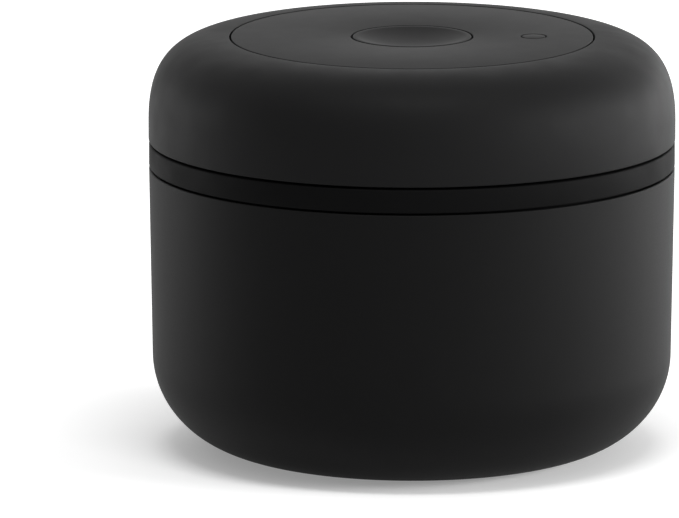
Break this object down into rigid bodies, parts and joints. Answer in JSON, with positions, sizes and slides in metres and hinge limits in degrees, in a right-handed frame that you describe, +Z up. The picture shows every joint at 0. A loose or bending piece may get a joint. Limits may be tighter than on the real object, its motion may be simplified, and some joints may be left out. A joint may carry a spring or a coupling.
{
  "type": "vacuum coffee canister",
  "caption": "Low round canister with a rounded foot and a domed twist lid that holds its own vacuum pump, with a flush disc, dished release button and indicator dot.",
  "frame": {"origin": "centre of the can's base ring, on the surface that it stands on", "axes": "+Z up along the can's axis; +X towards the indicator dot; -Y towards the viewer of the picture"},
  "size_m": [0.118, 0.118, 0.0937],
  "materials": {
    "coated_steel": "fine matte black powder coat on deep-drawn stainless steel",
    "lid_plastic": "moulded black plastic with a fine matte grain",
    "disc_plastic": "moulded black plastic, soft satin",
    "indicator_plastic": "black plastic dot",
    "inner_plastic": "moulded dark plastic",
    "pale_plastic": "natural low-friction plastic",
    "clear_silicone": "soft translucent silicone",
    "black_silicone": "soft black silicone",
    "steel": "bare stainless steel",
    "felt": "white needled felt"
  },
  "bodies": {
    "canister": {"canister_body": "coated_steel"},
    "lid_core": {"lid_base": "lid_plastic", "main_gasket": "clear_silicone", "inlet_filter": "felt", "filter_cover": "inner_plastic", "glide_ring": "pale_plastic", "core_cover": "inner_plastic", "top_disc": "disc_plastic", "pump_cylinder_front": "inner_plastic", "pump_cylinder_rear": "inner_plastic", "intake_valve_front": "clear_silicone", "intake_valve_rear": "clear_silicone", "exhaust_valve_front": "clear_silicone", "exhaust_valve_rear": "clear_silicone", "cylinder_screw_front_left": "steel", "cylinder_screw_front_right": "steel", "cylinder_screw_rear_left": "steel", "cylinder_screw_rear_right": "steel", "cover_screw_1": "steel", "cover_screw_2": "steel", "cover_screw_3": "steel", "cover_screw_4": "steel", "release_spring": "steel", "indicator_spring": "steel"},
    "turning_cap": {"lid_cap": "lid_plastic", "cam_ring": "pale_plastic", "cam_screw_1": "steel", "cam_screw_2": "steel", "cam_screw_3": "steel", "cam_screw_4": "steel"},
    "front_piston": {"piston_front": "pale_plastic", "piston_seal_front": "black_silicone", "follower_pin_front": "steel"},
    "rear_piston": {"piston_rear": "pale_plastic", "piston_seal_rear": "black_silicone", "follower_pin_rear": "steel"},
    "release_button": {"release_button": "disc_plastic", "valve_stem": "pale_plastic", "valve_seal": "clear_silicone"},
    "indicator": {"indicator_piston": "pale_plastic", "indicator_seal": "black_silicone", "indicator_dot": "indicator_plastic"}
  },
  "joints": [
    {"name": "lid_lift", "type": "slide", "parent": "canister", "child": "lid_core", "axis": [0, 0, 1], "range_m": [0, 0.08]},
    {"name": "cap_twist", "type": "hinge", "parent": "lid_core", "child": "turning_cap", "pos_m": [0, 0, 0.0704], "axis": [0, 0, 1], "range_deg": [-45, 45]},
    {"name": "front_piston_stroke", "type": "slide", "parent": "lid_core", "child": "front_piston", "axis": [0, -1, 0], "range_m": [-0.0045, 0.0045]},
    {"name": "rear_piston_stroke", "type": "slide", "parent": "lid_core", "child": "rear_piston", "axis": [0, 1, 0], "range_m": [-0.0045, 0.0045]},
    {"name": "button_press", "type": "slide", "parent": "lid_core", "child": "release_button", "axis": [0, 0, -1], "range_m": [0, 0.0024], "stiffness_N_per_m": 1500, "deforming": ["release_spring"]},
    {"name": "indicator_sink", "type": "slide", "parent": "lid_core", "child": "indicator", "axis": [0, 0, -1], "range_m": [0, 0.0015], "stiffness_N_per_m": 400, "deforming": ["indicator_spring"]}
  ],
  "couplings": [
    {"joint": "front_piston_stroke", "follows": "cap_twist", "m_per_rad": 0.005729},
    {"joint": "rear_piston_stroke", "follows": "cap_twist", "m_per_rad": 0.005729}
  ]
}
